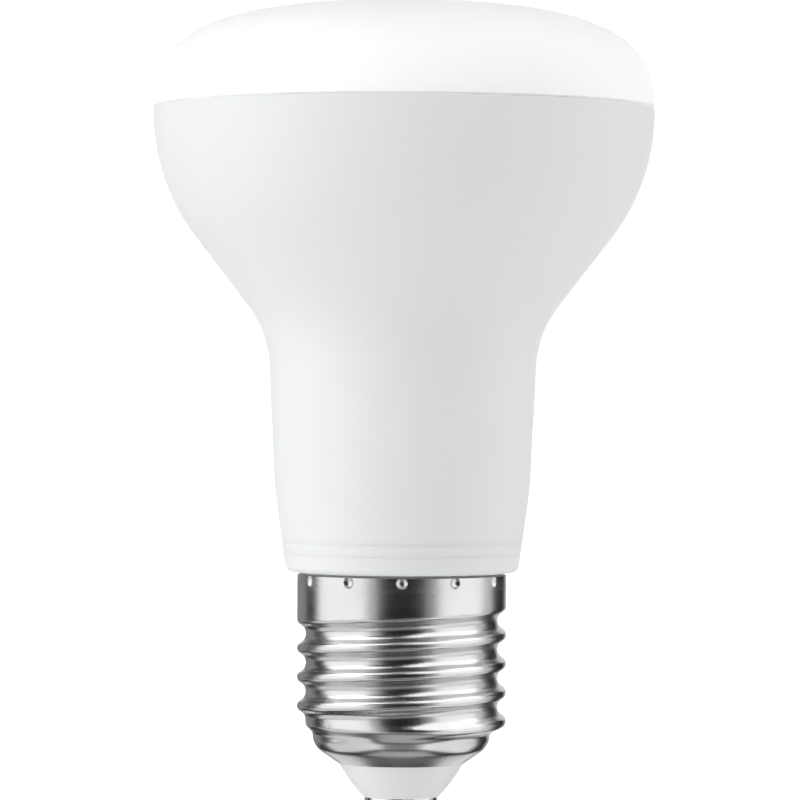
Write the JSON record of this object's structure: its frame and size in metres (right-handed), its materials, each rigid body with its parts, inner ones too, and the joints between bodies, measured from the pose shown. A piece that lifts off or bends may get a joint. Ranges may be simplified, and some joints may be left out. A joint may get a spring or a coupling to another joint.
{
  "type": "reflector bulb",
  "caption": "Reflector lamp with an opal domed lens, a white moulded bowl and neck, a bright rolled-thread screw cap and a white insulator; LED board and driver inside.",
  "frame": {"origin": "centre of the end face of the centre contact", "axes": "+Z along the lamp axis from the cap towards the lens; -Y towards the viewer of the picture"},
  "size_m": [0.063, 0.063, 0.102],
  "materials": {
    "opal_lens": "satin opal polycarbonate that scatters light",
    "white_housing": "satin white moulded plastic",
    "sealant": "cured white silicone",
    "nickel_cap": "bright nickel plate on rolled sheet",
    "white_insulator": "smooth white moulded plastic",
    "contact_metal": "nickel plate on a pressed rivet",
    "sink_aluminium": "bare pressed aluminium",
    "white_board": "white solder mask on an aluminium core",
    "led_phosphor": "yellow phosphor gel in a white frame",
    "screw_steel": "zinc-plated steel",
    "socket_plastic": "white moulded nylon",
    "pin_brass": "tinned brass pin",
    "driver_laminate": "green glass-fibre laminate",
    "black_epoxy": "moulded black epoxy",
    "can_sleeve": "shrunk dark sleeve on an aluminium can",
    "film_red": "dipped red epoxy",
    "ferrite": "dark sintered ferrite",
    "enamelled_copper": "enamelled copper wire",
    "resistor_ceramic": "black glazed chip with tinned ends",
    "fuse_coating": "grey-green lacquer",
    "red_insulation": "red silicone insulation",
    "tinned_wire": "tinned copper wire"
  },
  "bodies": {
    "root": {"diffuser_lens": "opal_lens", "lens_sealant": "sealant", "housing": "white_housing", "cap_shell": "nickel_cap", "cap_insulator": "white_insulator", "centre_contact": "contact_metal", "heat_sink": "sink_aluminium", "led_board": "white_board", "led_packages": "led_phosphor", "board_screws": "screw_steel", "board_socket": "socket_plastic", "output_pins": "pin_brass", "driver_board": "driver_laminate", "bridge_rectifier": "black_epoxy", "controller_chip": "black_epoxy", "freewheel_diode": "black_epoxy", "input_capacitor": "can_sleeve", "output_capacitor": "can_sleeve", "film_capacitor": "film_red", "choke_core": "ferrite", "choke_winding": "enamelled_copper", "sense_resistors": "resistor_ceramic", "fusible_resistor": "fuse_coating", "live_lead": "red_insulation", "neutral_lead": "tinned_wire"}
  },
  "joints": []
}
